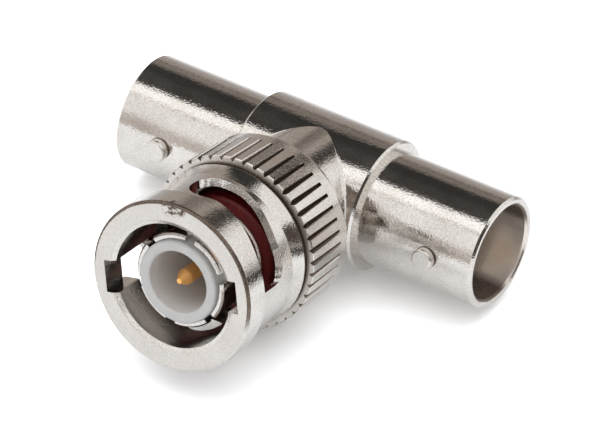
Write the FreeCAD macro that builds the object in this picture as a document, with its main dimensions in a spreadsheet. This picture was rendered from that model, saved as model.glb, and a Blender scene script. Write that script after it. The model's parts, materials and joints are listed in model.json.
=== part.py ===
import FreeCAD, Part
import math
import os

import Sketcher
from FreeCAD import Placement, Rotation, Vector

# Coaxial splitter: a bayonet tee adapter with one plug and two jacks.
#
# The plug lies along -Y and the jacks along +X and -X. At rest the tee lies on its
# side, nose up: the collar of the body and the rear edge of the knurl touch the floor.
# Lengths are in millimetres and angles in degrees. Every piece is drawn in a frame of
# its own, whose X axis is the piece's own axis, measured from where the axes cross.

doc = FreeCAD.newDocument("CoaxialSplitter")
sheet = doc.addObject("Spreadsheet::Sheet", "Sizes")

SIZES = {
    # Tee body
    "collar_radius": 5.64,
    "collar_margin": 0.6,
    "collar_bevel": 0.18,
    "neck_inset": 0.14,
    "neck_face": 7.45,
    "neck_bevel": 0.3,
    "saddle_round": 0.35,
    "tail_seat": 4.6,
    # Clearances
    "press_gap": 0.01,
    "running_gap": 0.05,
    # Jack barrel
    "mouth": 17.1,
    "barrel_radius": 4.825,
    "barrel_wall": 0.745,
    "base_length": 2.85,
    "barrel_bevel": 0.2,
    "mouth_bevel": 0.25,
    "spigot_radius": 4.2,
    "base_bore": 3.3,
    # Bayonet studs
    "stud_setback": 4.25,
    "stud_radius": 0.95,
    "stud_height": 0.755,
    "stud_round": 0.2,
    "stud_inset": 0.12,
    # Jack insulator and its socket contact
    "nose_radius": 2.36,
    "nose_setback": 3.4,
    "nose_bevel": 0.15,
    "contact_radius": 1.05,
    "contact_setback": 0.3,
    "contact_bevel": 0.15,
    "socket_bore": 0.69,
    "contact_web": 1.5,
    "shoulder_radius": 1.45,
    "shoulder_length": 1.6,
    # Junction rod and the core round it
    "core_radius": 3.55,
    "core_margin": 0.7,
    "rod_radius": 0.8,
    "rod_end_radius": 0.45,
    "rod_end_length": 1.4,
    # Plug pin
    "pin_radius": 0.675,
    "pin_tip": 21.7,
    "pin_cone": 0.9,
    "pin_tip_radius": 0.22,
    "pin_tail_radius": 0.45,
    "shank_radius": 0.8,
    "bead_radius": 1.1,
    "bead_back": 4.4,
    "bead_front": 13.3,
    # Plug insulator
    "dielectric_radius": 3.6,
    "dielectric_bore": 2.7,
    "dielectric_face": 22.0,
    "dielectric_floor": 13.4,
    "dielectric_bevel": 0.12,
    # Outer contact of the plug
    "tail_radius": 4.25,
    "flange_radius": 5.05,
    "flange_back": 12.2,
    "flange_length": 1.1,
    "gasket_seat_radius": 4.1,
    "finger_radius": 3.98,
    "finger_wall": 0.32,
    "finger_root": 15.9,
    "finger_face": 21.6,
    "lip_radius": 4.1,
    "lip_length": 0.7,
    "lip_bevel": 0.15,
    "finger_count": 6,
    "slit_width": 0.9,
    "slit_angle": 23.0,
    # Gasket, thrust washers and wave washers
    "gasket_radius": 4.95,
    "gasket_length": 2.3,
    "gasket_bevel": 0.2,
    "washer_radius": 5.1,
    "washer_thickness": 0.25,
    "wave_thickness": 0.2,
    "wave_count": 3,
    # Coupling nut
    "nut_face": 22.95,
    "nut_back": 7.5,
    "nut_bore": 5.4,
    "lead_in": 0.4,
    "lead_in_length": 0.25,
    "chamber_radius": 6.05,
    "chamber_front": 16.9,
    "lip_front": 9.3,
    "rim_radius": 7.42,
    "rim_length": 2.35,
    "rim_round": 0.28,
    "rim_step": 0.2,
    "waist_radius": 6.78,
    "flare_front": 15.4,
    "flare_radius": 7.02,
    "flare_sweep": 8.0,
    "knurl_radius": 7.42,
    "knurl_front": 13.55,
    "knurl_front_radius": 7.58,
    "knurl_bevel": 0.12,
    "groove_depth": 0.2,
    "groove_length": 0.45,
    "back_edge": 8.247,
    "back_radius": 6.97,
    "flute_count": 44,
    "flute_width": 0.28,
    "flute_depth": 0.2,
    "flute_back": 9.2,
    # Entry notches and cam windows of the nut
    "window_count": 2,
    "notch_angle": 13.0,
    "notch_width": 2.8,
    "notch_radius": 6.25,
    "notch_end": 16.9,
    "ramp_front": 20.6,
    "ramp_back": 19.8,
    "ramp_inset": 0.55,
    "cam_start_angle": 18.6,
    "cam_start": 18.25,
    "cam_ramp_angle": 28.0,
    "cam_low_angle": 80.0,
    "cam_low": 17.42,
    "cam_lock_angle": 94.0,
    "cam_lock": 17.6,
    "cam_width": 3.0,
    "cam_low_width": 3.15,
    "cam_lock_width": 3.4,
}


def fill_sheet():
    """Write one row for each size, with its name beside it as the alias."""
    for row, (name, number) in enumerate(SIZES.items(), start=1):
        sheet.set(f"A{row}", name)
        sheet.set(f"B{row}", str(number))
        sheet.setAlias(f"B{row}", name)
    doc.recompute()


def size(name):
    """Return the number that the sheet holds under this name."""
    return float(sheet.get(name))


def bound(formula):
    """Turn a formula of plain size names into one that reads the sheet."""
    words = formula.replace("(", " ( ").replace(")", " ) ").split()
    return " ".join("Sizes." + word if word in SIZES else word for word in words)


def worked(formula):
    """Return the number that a formula of size names comes to."""
    return float(sheet.evalExpression(bound(formula)))


# Places on the axes that several pieces share
GASKET_BACK = "flange_back + flange_length"
STACK_HEIGHT = "flange_back - lip_front - 2 * washer_thickness"
NOSE_FACE = "mouth - nose_setback"
CONTACT_FACE = "mouth - nose_setback - contact_setback"
CORE_HALF = "( dielectric_radius + core_margin )"
STUD_PLACE = "mouth - stud_setback"
NECK_RADIUS = "collar_radius - neck_inset"
TEE_HALF = "( collar_radius - neck_inset + collar_margin )"
BARREL_BORE = "barrel_radius - barrel_wall"
BARREL_FLOOR = TEE_HALF + " + base_length"
SLEEVE_BORE = "dielectric_radius + running_gap"
PLUG_BACK = "core_radius + running_gap"


def new_body(label):
    body = doc.addObject("PartDesign::Body", label)
    body.Label = label
    return body


def origin_plane(body, role):
    """Find one of the body's own three planes by its role."""
    return [plane for plane in body.Origin.OriginFeatures if plane.Role == role][0]


def new_sketch(body, name, role, shift=None, turn=None):
    """Add a sketch on an origin plane, shifted along its normal or turned about X."""
    sketch = body.newObject("Sketcher::SketchObject", name)
    sketch.AttachmentSupport = [(origin_plane(body, role), "")]
    sketch.MapMode = "FlatFace"
    if turn:
        angle = worked(turn)
        sketch.AttachmentOffset = Placement(Vector(), Rotation(Vector(1, 0, 0), angle))
        sketch.setExpression("AttachmentOffset.Rotation.Angle", bound(turn))
    if shift:
        axis, formula = shift
        sketch.setExpression(f"AttachmentOffset.Base.{axis}", bound(formula))
    return sketch


def bind(sketch, constraint, formula):
    """Add a constraint whose value follows a formula of sizes."""
    index = sketch.addConstraint(constraint)
    sketch.setExpression(f"Constraints[{index}]", bound(formula))


def pin_corner(sketch, edge, end, corner):
    """Hold one corner at its two distances, or on an axis where a distance is 0."""
    for name, axis, formula in (("DistanceX", -2, corner[0]), ("DistanceY", -1, corner[1])):
        if formula == "0":
            sketch.addConstraint(Sketcher.Constraint("PointOnObject", edge, end, axis))
        else:
            held = Sketcher.Constraint(name, -1, 1, edge, end, worked(formula))
            bind(sketch, held, formula)


def arc_between(start, stop, radius, side):
    """Return the arc from start to stop, its centre left (1) or right (-1) of the way."""
    chord = stop - start
    half = chord.Length / 2
    rise = math.sqrt(radius ** 2 - half ** 2)
    left = Vector(-chord.y, chord.x, 0).normalize()
    centre = (start + stop) / 2 + left * (rise * side)
    first, last = (start, stop) if side > 0 else (stop, start)
    begin = math.atan2(first.y - centre.y, first.x - centre.x)
    end = math.atan2(last.y - centre.y, last.x - centre.x)
    circle = Part.Circle(centre, Vector(0, 0, 1), radius)
    return Part.ArcOfCircle(circle, begin, end)


def draw_outline(sketch, corners):
    """Draw a closed outline through corners of two formulas each.

    A corner with a third and fourth entry is reached by an arc: its radius, and 1 or
    -1 for a centre on the left or the right of the way.
    """
    points = [Vector(worked(c[0]), worked(c[1]), 0) for c in corners]
    ends = []
    for index, start in enumerate(points):
        reached = corners[(index + 1) % len(corners)]
        stop = points[(index + 1) % len(points)]
        if len(reached) > 2:
            side = reached[3]
            edge = sketch.addGeometry(arc_between(start, stop, worked(reached[2]), side), False)
            bind(sketch, Sketcher.Constraint("Radius", edge, worked(reached[2])), reached[2])
            ends.append((1, 2) if side > 0 else (2, 1))
        else:
            sketch.addGeometry(Part.LineSegment(start, stop), False)
            ends.append((1, 2))
    for index, corner in enumerate(corners):
        before = index - 1 if index else len(corners) - 1
        join = Sketcher.Constraint("Coincident", before, ends[before][1], index, ends[index][0])
        sketch.addConstraint(join)
        pin_corner(sketch, index, ends[index][0], corner)


def turned(body, name, corners, kind="PartDesign::Revolution", shift=None):
    """Turn an outline of distance along the axis and radius about the X axis."""
    sketch = new_sketch(body, name + "_outline", "XY_Plane", shift=shift)
    draw_outline(sketch, corners)
    feature = body.newObject(kind, name)
    feature.Profile = sketch
    feature.ReferenceAxis = (sketch, ["H_Axis"])
    feature.Angle = 360
    doc.recompute()
    return feature


def drilled(body, name, role, centre, radius, shift=None, length=None, outward=False):
    """Cut a round hole about the centre, through everything or to a length."""
    sketch = new_sketch(body, name + "_circle", role, shift=shift)
    place = Vector(worked(centre), 0, 0)
    edge = sketch.addGeometry(Part.Circle(place, Vector(0, 0, 1), worked(radius)), False)
    bind(sketch, Sketcher.Constraint("Radius", edge, worked(radius)), radius)
    pin_corner(sketch, edge, 3, (centre, "0"))
    pocket = body.newObject("PartDesign::Pocket", name)
    pocket.Profile = sketch
    if length:
        pocket.Length = worked(length)
        pocket.setExpression("Length", bound(length))
        pocket.Reversed = outward
    else:
        pocket.Type = "ThroughAll"
        pocket.Midplane = True
    doc.recompute()
    return pocket


def repeated(body, feature, name, count, axis="H_Axis"):
    """Repeat a feature evenly about the piece's own axis, as its sketch names it."""
    pattern = body.newObject("PartDesign::PolarPattern", name)
    pattern.Originals = [feature]
    pattern.Axis = (feature.Profile[0], [axis])
    pattern.Angle = 360
    pattern.Occurrences = int(worked(count))
    pattern.setExpression("Occurrences", bound(count))
    body.Tip = pattern
    doc.recompute()
    return pattern


def tee_body():
    """One turned collar across, with the round neck of the plug growing out of it."""
    body = new_body("tee_body")
    shift = ("x", f"-1 * {TEE_HALF}")
    turned(body, "TeeCollar", [
        ("0", "0"),
        ("0", "collar_radius - collar_bevel"),
        ("collar_bevel", "collar_radius"),
        (f"2 * {TEE_HALF} - collar_bevel", "collar_radius"),
        (f"2 * {TEE_HALF}", "collar_radius - collar_bevel"),
        (f"2 * {TEE_HALF}", "0"),
    ], shift=shift)
    circle = new_sketch(body, "TeeNeck_circle", "XZ_Plane")
    radius = worked(NECK_RADIUS)
    edge = circle.addGeometry(Part.Circle(Vector(), Vector(0, 0, 1), radius), False)
    bind(circle, Sketcher.Constraint("Radius", edge, radius), NECK_RADIUS)
    circle.addConstraint(Sketcher.Constraint("Coincident", edge, 3, -1, 1))
    neck = body.newObject("PartDesign::Pad", "TeeNeck")
    neck.Profile = circle
    neck.setExpression("Length", bound("neck_face"))
    doc.recompute()
    dress(body, "PartDesign::Fillet", "TeeSaddle", neck, is_saddle, "Radius", "saddle_round")
    dress(body, "PartDesign::Chamfer", "TeeNeckBevel", body.Tip, is_neck_rim, "Size", "neck_bevel")
    turned(body, "TeeChamber", [
        ("0", "0"),
        ("0", "spigot_radius + press_gap"),
        (f"{TEE_HALF} - {CORE_HALF}", "spigot_radius + press_gap"),
        (f"{TEE_HALF} - {CORE_HALF}", "core_radius + press_gap"),
        (f"{TEE_HALF} + {CORE_HALF}", "core_radius + press_gap"),
        (f"{TEE_HALF} + {CORE_HALF}", "spigot_radius + press_gap"),
        (f"2 * {TEE_HALF}", "spigot_radius + press_gap"),
        (f"2 * {TEE_HALF}", "0"),
    ], kind="PartDesign::Groove", shift=shift)
    drilled(body, "TeeThroat", "XZ_Plane", "0", "dielectric_radius + running_gap",
            length="tail_seat + running_gap", outward=True)
    drilled(body, "TeeTailSeat", "XZ_Plane", "0", "tail_radius + press_gap",
            shift=("z", "tail_seat"), length="neck_face", outward=True)
    return body


def dress(body, kind, name, base, chosen, size_property, formula):
    """Round or bevel the edges of a feature that pass a test."""
    edges = [f"Edge{n}" for n, edge in enumerate(base.Shape.Edges, start=1) if chosen(edge)]
    feature = body.newObject(kind, name)
    feature.Base = (base, edges)
    feature.setExpression(size_property, bound(formula))
    doc.recompute()
    return feature


def is_saddle(edge):
    """True for the curved line where the neck meets the collar."""
    return edge.Closed and not isinstance(edge.Curve, Part.Circle)


def is_neck_rim(edge):
    """True for the outer circle of the neck's front face."""
    if not isinstance(edge.Curve, Part.Circle):
        return False
    return abs(edge.CenterOfMass.y + size("neck_face")) < size("press_gap")


def jack_barrel(label):
    """A stepped tube: spigot in the tee, wall with two stud holes, bevelled mouth."""
    body = new_body(label)
    turned(body, label + "_Tube", [
        (CORE_HALF, "base_bore"),
        (CORE_HALF, "spigot_radius"),
        (TEE_HALF, "spigot_radius"),
        (TEE_HALF, "barrel_radius"),
        ("mouth - barrel_bevel", "barrel_radius"),
        ("mouth", "barrel_radius - barrel_bevel"),
        ("mouth", BARREL_BORE + " + mouth_bevel"),
        ("mouth - mouth_bevel", BARREL_BORE),
        (BARREL_FLOOR, BARREL_BORE),
        (BARREL_FLOOR, "base_bore"),
    ])
    drilled(body, label + "_StudHoles", "XZ_Plane", STUD_PLACE, "stud_radius + press_gap")
    return body


def bayonet_stud(label):
    """A short round stud whose outer edge is rounded."""
    body = new_body(label)
    foot = BARREL_BORE + " + stud_inset"
    tip = "barrel_radius + stud_height"
    turned(body, label + "_Stud", [
        (foot, "0"),
        (foot, "stud_radius"),
        (tip + " - stud_round", "stud_radius"),
        (tip, "stud_radius - stud_round", "stud_round", -1),
        (tip, "0"),
    ])
    return body


def jack_insulator(label):
    """A plug of dielectric: base in the barrel, nose in its mouth, bored for the contact."""
    body = new_body(label)
    back = CORE_HALF
    shoulder = CORE_HALF + " + shoulder_length + running_gap"
    turned(body, label + "_Dielectric", [
        (back, "shoulder_radius + running_gap"),
        (back, "base_bore - press_gap"),
        (BARREL_FLOOR, "base_bore - press_gap"),
        (BARREL_FLOOR, "nose_radius"),
        (NOSE_FACE + " - nose_bevel", "nose_radius"),
        (NOSE_FACE, "nose_radius - nose_bevel"),
        (NOSE_FACE, "contact_radius + press_gap"),
        (shoulder, "contact_radius + press_gap"),
        (shoulder, "shoulder_radius + running_gap"),
    ])
    return body


def socket_contact(label):
    """A gilt tube: its shoulder is held in the insulator, its bore takes a pin."""
    body = new_body(label)
    shoulder = CORE_HALF + " + shoulder_length"
    rod_end = CORE_HALF + " + rod_end_length + running_gap"
    bore_floor = shoulder + " + contact_web"
    turned(body, label + "_Tube", [
        (CORE_HALF, "rod_end_radius + press_gap"),
        (CORE_HALF, "shoulder_radius"),
        (shoulder, "shoulder_radius"),
        (shoulder, "contact_radius"),
        (CONTACT_FACE, "contact_radius"),
        (CONTACT_FACE, "socket_bore + contact_bevel"),
        (CONTACT_FACE + " - contact_bevel", "socket_bore"),
        (bore_floor, "socket_bore"),
        (bore_floor, "0"),
        (rod_end, "0"),
        (rod_end, "rod_end_radius + press_gap"),
    ])
    return body


def tee_junction():
    """The rod that joins both contacts, cross drilled for the tail of the plug pin."""
    body = new_body("tee_junction")
    turned(body, "JunctionRod", [
        ("0", "0"),
        ("0", "rod_end_radius"),
        ("rod_end_length", "rod_end_radius"),
        ("rod_end_length", "rod_radius"),
        (f"rod_end_length + 2 * {CORE_HALF}", "rod_radius"),
        (f"rod_end_length + 2 * {CORE_HALF}", "rod_end_radius"),
        (f"2 * rod_end_length + 2 * {CORE_HALF}", "rod_end_radius"),
        (f"2 * rod_end_length + 2 * {CORE_HALF}", "0"),
    ], shift=("x", f"-1 * {CORE_HALF} - rod_end_length"))
    drilled(body, "JunctionHole", "XZ_Plane", "0", "pin_tail_radius + press_gap")
    return body


def core_insulator():
    """A round block of dielectric in the tee, bored for the rod and for the pin."""
    body = new_body("core_insulator")
    turned(body, "CoreBlock", [
        ("0", "rod_radius + press_gap"),
        ("0", "core_radius"),
        (f"2 * {CORE_HALF}", "core_radius"),
        (f"2 * {CORE_HALF}", "rod_radius + press_gap"),
    ], shift=("x", f"-1 * {CORE_HALF}"))
    drilled(body, "CoreHole", "XZ_Plane", "0", "shank_radius + running_gap",
            length="2 * core_radius", outward=True)
    return body


def plug_pin():
    """The centre pin: tail in the rod, bead in the insulator, cone at its tip."""
    body = new_body("plug_pin")
    tail = "rod_radius"
    turned(body, "Pin", [
        ("0", "0"),
        ("0", "pin_tail_radius"),
        (f"2 * {tail} + press_gap", "pin_tail_radius"),
        (f"2 * {tail} + press_gap", "shank_radius"),
        (f"{tail} + bead_back", "shank_radius"),
        (f"{tail} + bead_back", "bead_radius"),
        (f"{tail} + bead_front", "bead_radius"),
        (f"{tail} + bead_front", "pin_radius"),
        (f"{tail} + pin_tip - pin_cone", "pin_radius"),
        (f"{tail} + pin_tip", "pin_tip_radius"),
        (f"{tail} + pin_tip", "0"),
    ], shift=("x", f"-1 * {tail}"))
    return body


def plug_insulator():
    """A tube of dielectric round the pin, with a web that holds the pin's bead."""
    body = new_body("plug_insulator")
    turned(body, "PlugDielectric", [
        (PLUG_BACK, "bead_radius + press_gap"),
        (PLUG_BACK, "dielectric_radius"),
        ("dielectric_face - dielectric_bevel", "dielectric_radius"),
        ("dielectric_face", "dielectric_radius - dielectric_bevel"),
        ("dielectric_face", "dielectric_bore + dielectric_bevel"),
        ("dielectric_face - dielectric_bevel", "dielectric_bore"),
        ("dielectric_floor", "dielectric_bore"),
        ("dielectric_floor", "bead_radius + press_gap"),
    ])
    return body


def plug_outer_contact():
    """The sleeve of the plug: tail in the tee, flange for the nut, slit spring fingers."""
    body = new_body("plug_outer_contact")
    finger_bore = "finger_radius - finger_wall"
    turned(body, "Sleeve", [
        ("tail_seat + running_gap", SLEEVE_BORE),
        ("tail_seat + running_gap", "tail_radius"),
        ("flange_back", "tail_radius"),
        ("flange_back", "flange_radius"),
        (GASKET_BACK, "flange_radius"),
        (GASKET_BACK, "gasket_seat_radius"),
        ("finger_root", "gasket_seat_radius"),
        ("finger_root", "finger_radius"),
        ("finger_face - lip_length", "finger_radius"),
        ("finger_face - lip_length + lip_bevel", "lip_radius"),
        ("finger_face - lip_bevel", "lip_radius"),
        ("finger_face", "lip_radius - lip_bevel"),
        ("finger_face", finger_bore),
        ("finger_root", finger_bore),
        ("finger_root", SLEEVE_BORE),
    ])
    sketch = new_sketch(body, "Slit_outline", "XY_Plane", turn="slit_angle")
    draw_outline(sketch, [
        ("finger_root + slit_width", "dielectric_radius"),
        ("finger_face + slit_width", "dielectric_radius"),
        ("finger_face + slit_width", "flange_radius"),
        ("finger_root + slit_width", "flange_radius"),
    ])
    slit = body.newObject("PartDesign::Pocket", "Slit")
    slit.Profile = sketch
    slit.Midplane = True
    slit.setExpression("Length", bound("slit_width"))
    doc.recompute()
    repeated(body, slit, "Slits", "finger_count")
    return body


def gasket():
    """A soft square ring in front of the flange, for the rim of a jack to press on."""
    body = new_body("gasket")
    bore = "gasket_seat_radius + press_gap"
    front = GASKET_BACK + " + gasket_length"
    turned(body, "GasketRing", [
        (GASKET_BACK, bore),
        (GASKET_BACK, "gasket_radius"),
        (front + " - gasket_bevel", "gasket_radius"),
        (front, "gasket_radius - gasket_bevel"),
        (front, bore),
    ])
    return body


def thrust_washer(label, back):
    """A flat ring round the tail of the sleeve."""
    body = new_body(label)
    bore = "tail_radius + running_gap"
    front = back + " + washer_thickness"
    turned(body, label + "_Ring", [
        (back, bore),
        (back, "washer_radius"),
        (front, "washer_radius"),
        (front, bore),
    ])
    return body


def wave_washer(label, index):
    """A thin ring bent in even waves, its middle line x = place + rise cos(n a + turn).

    Each washer is turned by half a wave from the one behind it, so crest meets crest.
    """
    steps = 48
    bore = size("tail_radius") + size("running_gap")
    rim = size("washer_radius")
    thickness = size("wave_thickness")
    height = worked(STACK_HEIGHT) / size("wave_count")
    rise = (height - thickness) / 2
    back = size("lip_front") + size("washer_thickness")
    middle = back + height * (index + 0.5)
    waves = int(size("wave_count"))

    def ring(radius, offset):
        points = []
        for step in range(steps):
            angle = 2 * math.pi * step / steps
            lift = rise * math.cos(waves * angle + math.pi * index)
            points.append(Vector(middle + lift + offset,
                                 radius * math.cos(angle), radius * math.sin(angle)))
        curve = Part.BSplineCurve()
        curve.interpolate(Points=points, PeriodicFlag=True)
        return curve.toShape()

    half = thickness / 2
    low_in, low_out = ring(bore, -half), ring(rim, -half)
    top_in, top_out = ring(bore, half), ring(rim, half)
    faces = [Part.makeRuledSurface(first, second) for first, second in (
        (low_in, low_out), (low_out, top_out), (top_out, top_in), (top_in, low_in))]
    shell = Part.makeShell(faces)
    shell.sewShape()
    solid = Part.Solid(shell)
    if solid.Volume < 0:
        solid.reverse()
    feature = doc.addObject("Part::Feature", label)
    feature.Label = label
    feature.Shape = solid
    return feature


def nut_blank():
    """The turned nut: rear lip, knurled band, concave flare, waist and rolled front rim.

    The band widens a little towards its front, where a shallow groove parts it from the
    flare. Its straight flutes are V-shaped, and so they widen towards the front too.
    """
    body = new_body("NutBlank")
    lip_bore = "tail_radius + running_gap"
    turned(body, "NutTurning", [
        ("nut_back", lip_bore),
        ("nut_back", "back_radius"),
        ("back_edge", "knurl_radius"),
        ("knurl_front - knurl_bevel", "knurl_front_radius"),
        ("knurl_front", "knurl_front_radius - knurl_bevel"),
        ("knurl_front", "flare_radius - groove_depth"),
        ("knurl_front + groove_length", "flare_radius"),
        ("flare_front", "waist_radius", "flare_sweep", 1),
        ("nut_face - rim_length - rim_step", "waist_radius"),
        ("nut_face - rim_length", "rim_radius"),
        ("nut_face - rim_round", "rim_radius"),
        ("nut_face", "rim_radius - rim_round", "rim_round", -1),
        ("nut_face", "nut_bore + lead_in"),
        ("nut_face - lead_in_length", "nut_bore"),
        ("chamber_front", "nut_bore"),
        ("chamber_front", "chamber_radius"),
        ("lip_front", "chamber_radius"),
        ("lip_front", lip_bore),
    ])
    sketch = new_sketch(body, "Flute_outline", "YZ_Plane", shift=("z", "flute_back"))
    draw_outline(sketch, [
        ("0", "knurl_radius - flute_depth"),
        ("1.5 * flute_width", "knurl_radius + 2 * flute_depth"),
        ("-1.5 * flute_width", "knurl_radius + 2 * flute_depth"),
    ])
    flute = body.newObject("PartDesign::Pocket", "Flute")
    flute.Profile = sketch
    flute.Reversed = True
    flute.setExpression("Length", bound("knurl_front + groove_length - flute_back"))
    doc.recompute()
    repeated(body, flute, "Flutes", "flute_count", "N_Axis")
    return body


def cam_point(angle, along, radius):
    """A point of the nut at an angle about its axis, at a radius, some way along."""
    turn = math.radians(angle)
    return Vector(along, radius * math.cos(turn), radius * math.sin(turn))


def cam_path():
    """Angles, places and widths of the cam path: level, down the ramp, into the lock.

    Each stretch after the level one is half a cosine wave, so that they join smoothly.
    """
    steps = 5
    marks = [(size(name + "_angle"), size(place), size(width)) for name, place, width in (
        ("cam_start", "cam_start", "cam_width"),
        ("cam_ramp", "cam_start", "cam_width"),
        ("cam_low", "cam_low", "cam_low_width"),
        ("cam_lock", "cam_lock", "cam_lock_width"))]
    path = marks[:2]
    for (angle, along, width), (end_angle, end_along, end_width) in zip(marks[1:], marks[2:]):
        for step in range(1, steps + 1):
            share = step / steps
            ease = (1 - math.cos(math.pi * share)) / 2
            path.append((angle + (end_angle - angle) * share,
                         along + (end_along - along) * ease,
                         width + (end_width - width) * ease))
    return path


def cam_window():
    """The cut of one window: a radial slot along the cam path, with round ends."""
    inner = size("nut_bore") - 1
    outer = size("rim_radius") + 1
    path = cam_path()
    sections = []
    for angle, along, width in path:
        back, front = along - width / 2, along + width / 2
        corners = [cam_point(angle, back, inner), cam_point(angle, front, inner),
                   cam_point(angle, front, outer), cam_point(angle, back, outer)]
        sections.append(Part.makePolygon(corners + corners[:1]))
    slot = Part.makeLoft(sections, True, False)
    for angle, along, width in (path[0], path[-1]):
        foot = cam_point(angle, along, inner)
        end = Part.makeCylinder(width / 2, outer - inner, foot, cam_point(angle, 0, 1))
        slot = slot.fuse(end)
    return slot


def entry_notch():
    """The cut of one notch: a straight groove in the bore that lets a stud come in.

    Behind the rim its floor slopes outwards to the front edge of the window.
    """
    width = size("notch_width")
    floor = size("notch_radius")
    side = -width / 2
    notch = Part.makeBox(size("nut_face"), floor, width, Vector(size("notch_end"), 0, side))
    front = size("ramp_front")
    run = 1.5 * (front - size("ramp_back"))
    rise = 1.5 * (size("waist_radius") - floor)
    side += size("ramp_inset")
    corners = [Vector(front, floor, side), Vector(front - run, floor + rise, side),
               Vector(size("cam_start"), floor + rise, side),
               Vector(size("cam_start"), floor - rise, side), Vector(front, floor - rise, side)]
    slope = Part.Face(Part.makePolygon(corners + corners[:1]))
    notch = notch.fuse(slope.extrude(Vector(0, 0, width - size("ramp_inset"))))
    notch.rotate(Vector(), Vector(1, 0, 0), size("notch_angle"))
    return notch


def coupling_nut():
    """The blank with its two notches and two cam windows cut out."""
    blank = nut_blank()
    cutter = doc.addObject("Part::Feature", "NutCuts")
    cut = cam_window().fuse(entry_notch())
    count = int(size("window_count"))
    copies = []
    for index in range(count):
        copy = cut.copy()
        copy.rotate(Vector(), Vector(1, 0, 0), 360 * index / count)
        copies.append(copy)
    cutter.Shape = Part.makeCompound(copies)
    nut = doc.addObject("Part::Cut", "coupling_nut")
    nut.Label = "coupling_nut"
    nut.Base = blank
    nut.Tool = cutter
    doc.recompute()
    return nut


def rest_place():
    """Where the tee lies: its tilt, and the crossing of its axes above the floor.

    The collar touches along a line and the nut's rear edge at a point. The origin is
    the middle of the part's footprint.
    """
    radius = size("collar_radius")
    edge_radius = size("knurl_radius")
    edge = size("back_edge")
    tilt = math.atan2(edge_radius, edge) - math.asin(radius / math.hypot(edge, edge_radius))
    face_radius = size("rim_radius") - size("rim_round")
    reach = size("nut_face") * math.cos(tilt) + face_radius * math.sin(tilt)
    side_reach = reach + size("rim_round") * (1 - math.cos(tilt))
    shift = (side_reach - radius) / 2
    move = Placement(Vector(0, shift, radius), Rotation(Vector(1, 0, 0), -math.degrees(tilt)))
    return move


def build():
    """Build every piece and lay it where it belongs."""
    fill_sheet()
    rest = rest_place()
    ahead = rest * Placement(Vector(), Rotation(Vector(0, 0, 1), -90))
    sides = {
        "right": rest,
        "left": rest * Placement(Vector(), Rotation(Vector(0, 0, 1), 180)),
    }
    pieces = []

    def lay(piece, place):
        piece.Placement = place
        pieces.append(piece)

    lay(tee_body(), rest)
    lay(tee_junction(), rest)
    lay(core_insulator(), rest)
    for side, place in sides.items():
        lay(jack_barrel("jack_barrel_" + side), place)
        lay(jack_insulator("jack_insulator_" + side), place)
        lay(socket_contact("socket_contact_" + side), place)
        for end, turn in (("front", -90), ("back", 90)):
            across = turn if side == "right" else -turn
            at_stud = Placement(Vector(worked(STUD_PLACE), 0, 0),
                                Rotation(Vector(0, 0, 1), across))
            lay(bayonet_stud(f"bayonet_stud_{side}_{end}"), place * at_stud)
    lay(plug_pin(), ahead)
    lay(plug_insulator(), ahead)
    lay(plug_outer_contact(), ahead)
    lay(gasket(), ahead)
    lay(thrust_washer("thrust_washer_front", "flange_back - washer_thickness"), ahead)
    lay(thrust_washer("thrust_washer_rear", "lip_front"), ahead)
    for index in range(int(size("wave_count"))):
        lay(wave_washer(f"wave_washer_{index + 1}", index), ahead)
    lay(coupling_nut(), ahead)
    doc.recompute()
    return pieces


def check_and_write(pieces):
    """Stop on anything that failed, then write one file for each piece."""
    for item in doc.Objects:
        if "Invalid" in item.State or "Error" in item.State:
            raise RuntimeError(f"{item.Name} failed: {item.State}")
    for piece in pieces:
        if piece.Shape.isNull() or not piece.Shape.isValid():
            raise RuntimeError(f"{piece.Label} has no valid shape")
    os.makedirs("parts", exist_ok=True)
    for piece in pieces:
        piece.Shape.exportStep(os.path.join("parts", piece.Label + ".step"))


check_and_write(build())
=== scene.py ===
import json
import math

import bpy
from mathutils import Matrix, Vector

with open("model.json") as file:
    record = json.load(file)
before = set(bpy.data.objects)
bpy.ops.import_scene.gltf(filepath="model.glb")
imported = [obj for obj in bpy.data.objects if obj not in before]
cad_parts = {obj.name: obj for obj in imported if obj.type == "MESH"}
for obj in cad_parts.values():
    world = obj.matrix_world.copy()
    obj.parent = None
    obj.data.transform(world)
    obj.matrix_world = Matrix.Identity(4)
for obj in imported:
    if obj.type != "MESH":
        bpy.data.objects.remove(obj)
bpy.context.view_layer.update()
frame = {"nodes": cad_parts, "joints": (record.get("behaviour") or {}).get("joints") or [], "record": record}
nodes = frame["nodes"]

# Tee body
# One brass forging, turned and drilled, then plated with bright nickel. The plating is
# thin and slightly grained, so that edges of reflections break up into fine specks.
plug_joint = [joint for joint in frame["joints"] if joint["name"] == "nut_turn"][0]
plug_axis = Vector(plug_joint["axis"])
sockets = [mount for mount in frame["record"]["mounts"] if mount["name"].startswith("socket_")]
crossing = sum((Vector(mount["pos_m"]) for mount in sockets), Vector()) / len(sockets)


def feed(tree, socket, value):
    """Link an output to a socket, or set the socket to a number, a vector or a colour."""
    if isinstance(value, bpy.types.NodeSocket):
        tree.links.new(value, socket)
    else:
        socket.default_value = value


def add(tree, kind, **values):
    """Add a node; each name is one of its settings or, with _ for a space, of its inputs."""
    node = tree.nodes.new(kind)
    for name, value in values.items():
        if hasattr(node, name):
            setattr(node, name, value)
        else:
            feed(tree, node.inputs[name.replace("_", " ")], value)
    return node


def math_of(tree, operation, *values):
    """Join numbers or outputs by one operation of arithmetic, and give the output."""
    node = add(tree, "ShaderNodeMath", operation=operation)
    for socket, value in zip(node.inputs, values):
        feed(tree, socket, value)
    return node.outputs[0]


def vector_of(tree, operation, *values):
    """Join vectors by one operation of vector arithmetic, and give the node's outputs."""
    node = add(tree, "ShaderNodeVectorMath", operation=operation)
    for socket, value in zip(node.inputs, values):
        feed(tree, socket, value)
    return node.outputs


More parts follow.
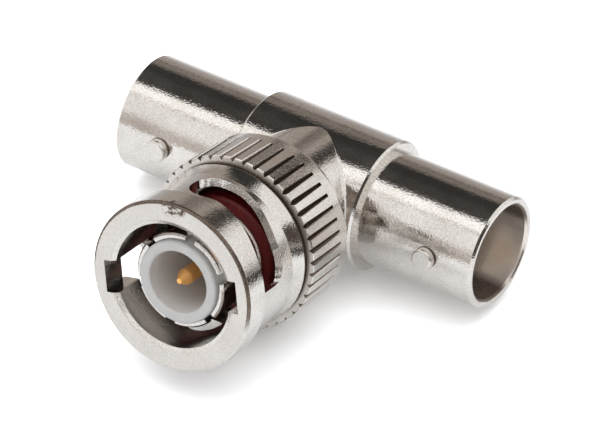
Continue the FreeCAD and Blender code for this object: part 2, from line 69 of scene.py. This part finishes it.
def noise(tree, place, scale, detail, roughness=0.5):
    """Fractal noise from 0 to 1, with scale as the number of cells in a metre."""
    return add(tree, "ShaderNodeTexNoise", Vector=place, Scale=scale, Detail=detail,
               Roughness=roughness).outputs[0]


def ramp_of(tree, factor, low, high):
    """Turn a number into a colour, straight from low's to high's.

    Both are a place on the number's scale and the colour there.
    """
    node = tree.nodes.new("ShaderNodeValToRGB")
    tree.links.new(factor, node.inputs[0])
    for element, (position, colour) in zip(node.color_ramp.elements, (low, high)):
        element.position = position
        element.color = (*colour, 1)
    return node.outputs[0]


def mixed(tree, amount, first, second):
    """Mix two colours: the first where the amount is 0, and the second where it is 1."""
    node = add(tree, "ShaderNodeMix", data_type="RGBA")
    for index, value in ((0, amount), (6, first), (7, second)):
        feed(tree, node.inputs[index], (*value, 1) if isinstance(value, tuple) else value)
    return node.outputs[2]


def start_material(name):
    """Give a new material, its tree, its shader and its Object coordinates."""
    material = bpy.data.materials.new(name)
    material.use_nodes = True
    tree = material.node_tree
    shader = tree.nodes["Principled BSDF"]
    place = tree.nodes.new("ShaderNodeTexCoord").outputs["Object"]
    return material, tree, shader, place


def roughen(tree, shader, height, distance):
    """Turn a height from 0 to 1 into the shader's normal, 1 being the distance in metres."""
    bump = add(tree, "ShaderNodeBump", Strength=1.0, Distance=distance, Height=height)
    tree.links.new(bump.outputs[0], shader.inputs["Normal"])


def dress(node_names, material):
    """Give the named CAD nodes one material."""
    for name in node_names:
        mesh = nodes[name].data
        mesh.materials.clear()
        mesh.materials.append(material)


# Nickel plate, as a group. Three layers of noise have cells of about 0.15, 0.4 and 3 mm:
# the two finest make the height, the finest and the coarsest the colour of the flecks.
# Dullness, Oxide and the dark layer after them each lay a colour over the bright one and add
# roughness. The dark layer is real chips on the nut, and painted shade and painted dark reflections
# elsewhere.
nickel = bpy.data.node_groups.new("nickel_plate", "ShaderNodeTree")
for socket, start in (("Place", None), ("Grain", 1.0), ("Polish", 0.1), ("Dullness", 0.0),
                      ("Tarnish", 0.0), ("Oxide", 0.0)):
    kind = "NodeSocketVector" if start is None else "NodeSocketFloat"
    made = nickel.interface.new_socket(socket, in_out="INPUT", socket_type=kind)
    if start is not None:
        made.default_value = start
for socket in ("Colour", "Roughness", "Metal", "Height"):
    kind = "NodeSocketColor" if socket == "Colour" else "NodeSocketFloat"
    nickel.interface.new_socket(socket, in_out="OUTPUT", socket_type=kind)
given = nickel.nodes.new("NodeGroupInput").outputs
result = nickel.nodes.new("NodeGroupOutput").inputs

fine = noise(nickel, given["Place"], scale=6500.0, detail=1.0, roughness=0.6)
pebble = noise(nickel, given["Place"], scale=2500.0, detail=2.0)
cloud = noise(nickel, given["Place"], scale=330.0, detail=3.0, roughness=0.55)
pebble_share, fleck_share, patchiness, oxide_share = 0.5, 0.6, 0.08, 0.45

height = math_of(nickel, "ADD", math_of(nickel, "MULTIPLY", fine, 1 - pebble_share),
                 math_of(nickel, "MULTIPLY", pebble, pebble_share))
nickel.links.new(math_of(nickel, "MULTIPLY", height, given["Grain"]), result["Height"])

flecks = math_of(nickel, "ADD", math_of(nickel, "MULTIPLY", fine, fleck_share),
                 math_of(nickel, "MULTIPLY", cloud, 1 - fleck_share))
colour = ramp_of(nickel, flecks, (0.35, (0.61, 0.575, 0.54)), (0.65, (0.80, 0.775, 0.745)))
for part, low, high in (
        ("Dullness", (0.60, 0.565, 0.53), (0.76, 0.73, 0.69)),
        ("Oxide", (0.88, 0.79, 0.70), (1.0, 0.92, 0.83)),
        ("Tarnish", (0.085, 0.064, 0.052), (0.25, 0.197, 0.163))):
    colour = mixed(nickel, given[part], colour, ramp_of(nickel, flecks, (0.3, low), (0.7, high)))
nickel.links.new(colour, result["Colour"])

metal = math_of(nickel, "MULTIPLY_ADD", given["Oxide"], -oxide_share, 1.0)
nickel.links.new(metal, result["Metal"])

patchy = math_of(nickel, "MULTIPLY", math_of(nickel, "SUBTRACT", cloud, 0.5), patchiness)
rough = math_of(nickel, "ADD", given["Polish"], patchy)
for part, rise in (("Dullness", 0.25), ("Tarnish", 0.22), ("Oxide", 0.14)):
    rough = math_of(nickel, "MULTIPLY_ADD", given[part], rise, rough)
nickel.links.new(rough, result["Roughness"])


def nickel_finish(name, grain, polish, **parts):
    """A nickel material; the parts are amounts, or functions that give masks."""
    material, tree, shader, place = start_material(name)
    plate = add(tree, "ShaderNodeGroup", node_tree=nickel, Place=place, Grain=grain,
                Polish=polish)
    for part, value in parts.items():
        feed(tree, plate.inputs[part], value(tree, place) if callable(value) else value)
    shader.inputs["Metallic"].default_value = 1.0
    if "Oxide" in parts:
        tree.links.new(plate.outputs["Metal"], shader.inputs["Metallic"])
    tree.links.new(plate.outputs["Colour"], shader.inputs["Base Color"])
    tree.links.new(plate.outputs["Roughness"], shader.inputs["Roughness"])
    roughen(tree, shader, plate.outputs["Height"], distance=0.00002)
    return material


dress(["tee_body"], nickel_finish("nickel_tee", grain=1.0, polish=0.10))

# Junction and core
# A gilt rod joins the centre contacts of both jacks inside the tee, and a grey block of
# dielectric holds it on the axis. Both are closed in.
gilt, tree, shader, place = start_material("gilt")
mottle = noise(tree, place, scale=2600.0, detail=3.0, roughness=0.6)
gold = ramp_of(tree, mottle, (0.3, (1.0, 0.50, 0.15)), (0.7, (1.0, 0.60, 0.23)))
satin = ramp_of(tree, mottle, (0.3, (0.42, 0.42, 0.42)), (0.7, (0.54, 0.54, 0.54)))
tree.links.new(gold, shader.inputs["Base Color"])
tree.links.new(satin, shader.inputs["Roughness"])
shader.inputs["Metallic"].default_value = 1.0
roughen(tree, shader, mottle, distance=0.000004)


def resin_finish(name, colour):
    """A waxy dielectric, in places up to a twelfth darker, with the marks of its mould."""
    material, tree, shader, place = start_material(name)
    haze = noise(tree, place, scale=900.0, detail=4.0, roughness=0.55)
    marks = noise(tree, place, scale=5200.0, detail=2.0)
    darker = tuple(0.92 * part for part in colour)
    shade = ramp_of(tree, haze, (0.3, darker), (0.7, colour))
    wax = ramp_of(tree, haze, (0.3, (0.38, 0.38, 0.38)), (0.7, (0.48, 0.48, 0.48)))
    tree.links.new(shade, shader.inputs["Base Color"])
    tree.links.new(wax, shader.inputs["Roughness"])
    shader.inputs["Subsurface Weight"].default_value = 0.15
    shader.inputs["Subsurface Radius"].default_value = (0.0006, 0.0006, 0.0006)
    roughen(tree, shader, marks, distance=0.000003)
    return material


dielectric = resin_finish("dielectric", (0.78, 0.775, 0.765))
dress(["tee_junction"], gilt)
dress(["core_insulator"], dielectric)

# Jacks
# A nickel plated tube is pressed into each side of the tee. Two short studs stand in
# its wall, and a dielectric plug in it holds the gilt socket contact on the axis.
barrels = ["jack_barrel_right", "jack_barrel_left"]
studs = [f"bayonet_stud_{side}_{end}" for side in ("right", "left") for end in ("front", "back")]
insulators = ["jack_insulator_right", "jack_insulator_left"]
contacts = ["socket_contact_right", "socket_contact_left"]
jack_axis = (1, 0, 0)
# The way across the bore along which its painted dark reflection lies, above and below.
bore_reflection_way = (0, 0.571, 0.821)

# Each pair is where a mask is 0 and where it is 1, in metres. The radii are from the
# axis of the jacks, and the spread of the painted dark reflection is from it too, but only along its way.
bore_radii = (0.0043, 0.0042)
bore_reflection_spread = (0.0022, 0.0032)
seam_outside = (0.00508, 0.00498)
seam_inside = (0.00468, 0.00478)


def along(tree, place, way):
    """Distance from the crossing along a way: the dot product of offset and way."""
    offset = vector_of(tree, "SUBTRACT", place, crossing)["Vector"]
    return vector_of(tree, "DOT_PRODUCT", offset, way)["Value"]


def away_from(tree, place, axis):
    """Distance from an axis through the crossing: the length of a cross product."""
    offset = vector_of(tree, "SUBTRACT", place, crossing)["Vector"]
    turned = vector_of(tree, "CROSS_PRODUCT", offset, axis)["Vector"]
    return vector_of(tree, "LENGTH", turned)["Value"]


def between(tree, value, low, high):
    """Rise smoothly from 0 at the low value to 1 at the high one."""
    rise = add(tree, "ShaderNodeMapRange", interpolation_type="SMOOTHSTEP", Value=value,
               From_Min=low, From_Max=high)
    return rise.outputs["Result"]


def overlap(tree, first, *others):
    """1 where every mask is 1: the product of the masks."""
    for other in others:
        first = math_of(tree, "MULTIPLY", first, other)
    return first


def barrel_bore(tree, place):
    """1 in the bore, whose plating is thin and dull."""
    return between(tree, away_from(tree, place, jack_axis), *bore_radii)


def bore_painted_reflection(tree, place):
    """1 in two long stretches of the bore, above and below, painted dark as a reflection."""
    lean = math_of(tree, "ABSOLUTE", along(tree, place, bore_reflection_way))
    return overlap(tree, between(tree, lean, *bore_reflection_spread), barrel_bore(tree, place))


def stud_foot_shade(tree, place):
    """1 in the narrow seam where a stud stands in the barrel, where shade is painted dark."""
    radius = away_from(tree, place, jack_axis)
    return overlap(tree, between(tree, radius, *seam_outside),
                   between(tree, radius, *seam_inside))


# The bore's two dark stretches are a painted reflection.
dress(barrels, nickel_finish("nickel_barrel", grain=1.1, polish=0.10, Oxide=barrel_bore,
                             Tarnish=bore_painted_reflection))
# The studs get a ring of painted shade at their foot, where they stand in the barrel.
dress(studs, nickel_finish("nickel_stud", grain=0.8, polish=0.12, Dullness=0.5,
                           Tarnish=stud_foot_shade, Oxide=barrel_bore))
dress(insulators, resin_finish("dielectric_tan", (0.74, 0.64, 0.55)))
dress(contacts, gilt)

# Plug contacts
# The gilt pin stands in a grey tube of dielectric. Round it is the outer contact, a
# turned sleeve whose front is sawn into six springy fingers.
dress(["plug_pin"], gilt)
dress(["plug_insulator"], dielectric)
dress(["plug_outer_contact"], nickel_finish("nickel_sleeve", grain=1.0, polish=0.14))

# Gasket
# A ring of dark red silicone rubber, moulded with a faintly pebbled skin. It is slipped
# over the fingers and lies at their root.
rubber, tree, shader, place = start_material("silicone")
skin = noise(tree, place, scale=2400.0, detail=3.0, roughness=0.6)
red = ramp_of(tree, skin, (0.3, (0.10, 0.006, 0.006)), (0.7, (0.16, 0.012, 0.010)))
matt = ramp_of(tree, skin, (0.3, (0.42, 0.42, 0.42)), (0.7, (0.6, 0.6, 0.6)))
tree.links.new(red, shader.inputs["Base Color"])
tree.links.new(matt, shader.inputs["Roughness"])
shader.inputs["Specular IOR Level"].default_value = 0.3
roughen(tree, shader, skin, distance=0.00001)
dress(["gasket"], rubber)

# Washers
# Plain spring strip: two flat rings and, between them, three waved ones that pull the
# nut back.
washers = ["thrust_washer_front", "thrust_washer_rear"] + [f"wave_washer_{n}" for n in (1, 2, 3)]
dress(washers, nickel_finish("spring_strip", grain=0.6, polish=0.3, Dullness=0.3))

# Coupling nut
# A brass turning with a knurled grip, two cam windows and a rim in front. Its front
# face rubs on whatever it is laid on, so it is duller than the rest.

# Each pair is where a mask is 0 and where it is 1, in metres. Outside and inside are
# radii from the plug's axis, front and back are distances from the crossing along it,
# above is a height over the table, and under is a depth below the band of the flutes.
face_front = (0.02285, 0.02295)
step_back = (0.01351, 0.01354)
step_front = (0.014, 0.0139)
bore_inside = (0.0056, 0.0055)
bore_front = (0.02265, 0.02255)
flutes_under = (0.00004, 0.00012)
flutes_outside = (0.0068, 0.0069)
flutes_back = (0.0091, 0.0092)
flutes_front = (0.01355, 0.01352)
root_inside = (0.0070, 0.00695)
root_back = (0.01345, 0.0135)
edge_outside = (0.00712, 0.00716)
edge_back = (0.02265, 0.02273)
edge_front = (0.02295, 0.02294)
edge_above = (0.0085, 0.0105)

# The band's radius is its slope times the distance along the axis, plus its start. A
# knock is its middle and its radius, and it is chipped where noise is over the level.
band_slope, band_start = 0.0302, 0.007171
chip_level = (0.47, 0.55)
knocks = (((-0.0009, -0.01196, 0.01707), 0.0010), ((0.0029, -0.01118, 0.0167), 0.0007),
          ((0.0001, -0.0118, 0.0170), 0.0006))
# How dark the painted shade in the nut's bore is.
bore_painted_shade = 0.45


def dull_faces(tree, place):
    """1 on the flat ring in front, and on the narrow one in front of the flutes."""
    distance = along(tree, place, plug_axis)
    step = overlap(tree, between(tree, distance, *step_back),
                   between(tree, distance, *step_front))
    return math_of(tree, "MAXIMUM", step, between(tree, distance, *face_front))


def knocked(tree, place):
    """1 in the chips of the knocks: noise over a level, inside small spheres."""
    ragged = noise(tree, place, scale=3200.0, detail=3.0, roughness=0.6)
    spots = 0.0
    for middle, size in knocks:
        distance = vector_of(tree, "DISTANCE", place, middle)["Value"]
        spots = math_of(tree, "MAXIMUM", between(tree, distance, size, size / 2), spots)
    return overlap(tree, spots, between(tree, ragged, *chip_level))


def chips_and_painted_shade(tree, place):
    """The dark places: real chips at the knocks, and painted shade in bore, flutes, groove root and upper
    rim edge.

    Each is the product of the masks that bound it, and the largest of them counts. What
    lies under the band, which widens to its front, is in a flute.
    """
    radius, distance = away_from(tree, place, plug_axis), along(tree, place, plug_axis)
    band = math_of(tree, "MULTIPLY_ADD", distance, band_slope, band_start)
    depth = math_of(tree, "SUBTRACT", band, radius)
    height = add(tree, "ShaderNodeSeparateXYZ", Vector=place).outputs["Z"]
    bore = overlap(tree, between(tree, radius, *bore_inside),
                   between(tree, distance, *bore_front), bore_painted_shade)
    worn = math_of(tree, "MAXIMUM", bore, knocked(tree, place))
    for bounds in (
            ((depth, flutes_under), (radius, flutes_outside), (distance, flutes_back),
             (distance, flutes_front)),
            ((radius, root_inside), (distance, root_back), (distance, step_front)),
            ((radius, edge_outside), (distance, edge_back), (distance, edge_front),
             (height, edge_above))):
        masks = [between(tree, value, *pair) for value, pair in bounds]
        worn = math_of(tree, "MAXIMUM", worn, overlap(tree, *masks))
    return worn


# Bore, flutes, groove root and the upper rim edge are darkened as painted shade; the knocks are real chips.
dress(["coupling_nut"], nickel_finish("nickel_nut", grain=1.0, polish=0.11,
                                      Dullness=dull_faces, Tarnish=chips_and_painted_shade))

# Table
# A white sheet runs under and behind the splitter. To the camera it is plain white, and
# still takes the soft shadow. To the metal it glows a little, but is grey far behind and,
# as a painted dark reflection, nearly black in a patch on the right.
floor_reach = 3.0
camera_white = (1.72, 1.74, 1.77)
far_behind, far_share, far_grey = (0.015, 0.08), 0.7, (0.20, 0.17, 0.15)
# The middle, radii and colour of a painted dark reflection on the sheet, seen only by the metal.
painted_reflection_middle, painted_reflection_radii, painted_reflection_black = (0.09, 0.045, 0), (0.065, 0.04), (0.06, 0.05, 0.045)
glow_strength = 0.22

floor_mesh = bpy.data.meshes.new("table_top")
corners = [(x * floor_reach, y * floor_reach, 0) for x, y in ((-1, -1), (1, -1), (1, 1), (-1, 1))]
floor_mesh.from_pydata(corners, [], [(0, 1, 2, 3)])
floor = bpy.data.objects.new("table_top", floor_mesh)
bpy.context.scene.collection.objects.link(floor)

paper, tree, shader, place = start_material("white_sheet")
tooth = noise(tree, place, scale=400.0, detail=2.0)
white = ramp_of(tree, tooth, (0.3, (0.84, 0.85, 0.865)), (0.7, (0.86, 0.87, 0.885)))
seen = tree.nodes.new("ShaderNodeLightPath").outputs
depth = add(tree, "ShaderNodeSeparateXYZ", Vector=place).outputs["Y"]
painted_reflection_gap = vector_of(tree, "DISTANCE", place, painted_reflection_middle)["Value"]
far = overlap(tree, between(tree, depth, *far_behind), far_share, seen["Is Glossy Ray"])
painted_reflection_patch = overlap(tree, between(tree, painted_reflection_gap, *painted_reflection_radii), seen["Is Glossy Ray"])
sheet = mixed(tree, seen["Is Camera Ray"], white, camera_white)
sheet = mixed(tree, painted_reflection_patch, mixed(tree, far, sheet, far_grey), painted_reflection_black)
tree.links.new(sheet, shader.inputs["Base Color"])
shader.inputs["Roughness"].default_value = 0.9
shader.inputs["Specular IOR Level"].default_value = 0.0

plain = math_of(tree, "SUBTRACT", seen["Is Glossy Ray"], math_of(tree, "MAXIMUM", far, painted_reflection_patch))
glow = add(tree, "ShaderNodeEmission", Color=(1, 1, 1, 1),
           Strength=math_of(tree, "MULTIPLY", plain, glow_strength))
both = tree.nodes.new("ShaderNodeAddShader")
tree.links.new(shader.outputs[0], both.inputs[0])
tree.links.new(glow.outputs[0], both.inputs[1])
tree.links.new(both.outputs[0], tree.nodes["Material Output"].inputs["Surface"])
floor_mesh.materials.append(paper)

# Studio
# A soft box overhead lights the splitter and the sheet. The metal shows a white room with
# a dark corner up behind, a greyer wall under it and a few dark things round about.
world = bpy.data.worlds.new("studio")
bpy.context.scene.world = world
world.use_nodes = True
tree = world.node_tree
way = tree.nodes.new("ShaderNodeTexCoord").outputs["Generated"]


def towards(azimuth, elevation):
    """The unit direction at an azimuth and an elevation in degrees."""
    a, e = math.radians(azimuth), math.radians(elevation)
    return Vector((math.cos(a) * math.cos(e), math.sin(a) * math.cos(e), math.sin(e)))


def patch(tree, way, azimuth, elevation, radius, edge):
    """1 within an angle of a direction, falling to 0 over an edge, all in degrees."""
    cosine = vector_of(tree, "DOT_PRODUCT", way, towards(azimuth, elevation))["Value"]
    angle = math_of(tree, "ARCCOSINE", cosine)
    return between(tree, angle, math.radians(radius + edge), math.radians(radius))


# A patch is its azimuth, elevation, radius and edge, and its colour. Later ones lie over
# the ones before.
room = (1.03, 1.02, 1.005)
for shape, tone in (
        ((-115, 6, 6, 18), (0.64, 0.59, 0.55)),
        ((-158, 66, 14, 12), (1.3, 1.29, 1.27)),
        ((108, 12, 28, 12), (0.42, 0.37, 0.33)),
        ((120, 50, 16, 9), (0.035, 0.033, 0.031)),
        ((155, 63, 12, 5), (0.05, 0.045, 0.042)),
        ((87, 32, 5, 8), (0.05, 0.045, 0.042)),
        ((-134, 54, 2, 3), (0.62, 0.58, 0.55)),
        ((116, 24, 6, 5), (0.25, 0.22, 0.195)),
        ((115, 17, 1.5, 2.5), (0.15, 0.13, 0.115)),
        ((34, 8, 11, 5), (0.10, 0.08, 0.07)),
        ((-82, 4, 14, 10), (0.10, 0.085, 0.075)),
        ((-8, 21, 15, 9), (0.08, 0.07, 0.06)),
        ((-28, 4, 9, 8), (0.08, 0.07, 0.06))):
    room = mixed(tree, patch(tree, way, *shape), room, tone)

# The soft box is a power of the cosine of the angle from its middle, over a dim fill.
box_middle, box_power, box_strength, fill = towards(123, 84), 3.0, 1.95, 0.28
facing = vector_of(tree, "DOT_PRODUCT", way, box_middle)["Value"]
lobe = math_of(tree, "POWER", math_of(tree, "MAXIMUM", facing, 0.0), box_power)
soft_box = math_of(tree, "MULTIPLY_ADD", lobe, box_strength, fill)
seen = tree.nodes.new("ShaderNodeLightPath").outputs
sky = mixed(tree, seen["Is Glossy Ray"], soft_box, room)
sky = mixed(tree, seen["Is Camera Ray"], sky, (1.0, 1.0, 1.0))
tree.links.new(sky, tree.nodes["Background"].inputs["Color"])
tree.nodes["Background"].inputs["Strength"].default_value = 1.0

# Camera
# A long lens, high and a little to the right of the plug, where the photograph was
# taken from. The distance is in metres, and so are the shifts that centre the picture.
turn, rise = math.radians(32.73), math.radians(39.57)
view_distance, shift_right, shift_up = 0.85196, 0.001879, 0.002948
back = Vector((math.sin(turn) * math.cos(rise), -math.cos(turn) * math.cos(rise),
               math.sin(rise)))
right = Vector((math.cos(turn), math.sin(turn), 0))
up = back.cross(right)
camera = bpy.data.cameras.new("camera")
camera.lens = 627.96
camera.sensor_width = 36.0
camera.clip_end = 20.0
camera_object = bpy.data.objects.new("camera", camera)
stand = Matrix((right, up, back)).transposed().to_4x4()
stand.translation = crossing + back * view_distance - right * shift_right - up * shift_up
camera_object.matrix_world = stand
bpy.context.scene.collection.objects.link(camera_object)
bpy.context.scene.camera = camera_object
bpy.context.scene.view_settings.view_transform = "Standard"
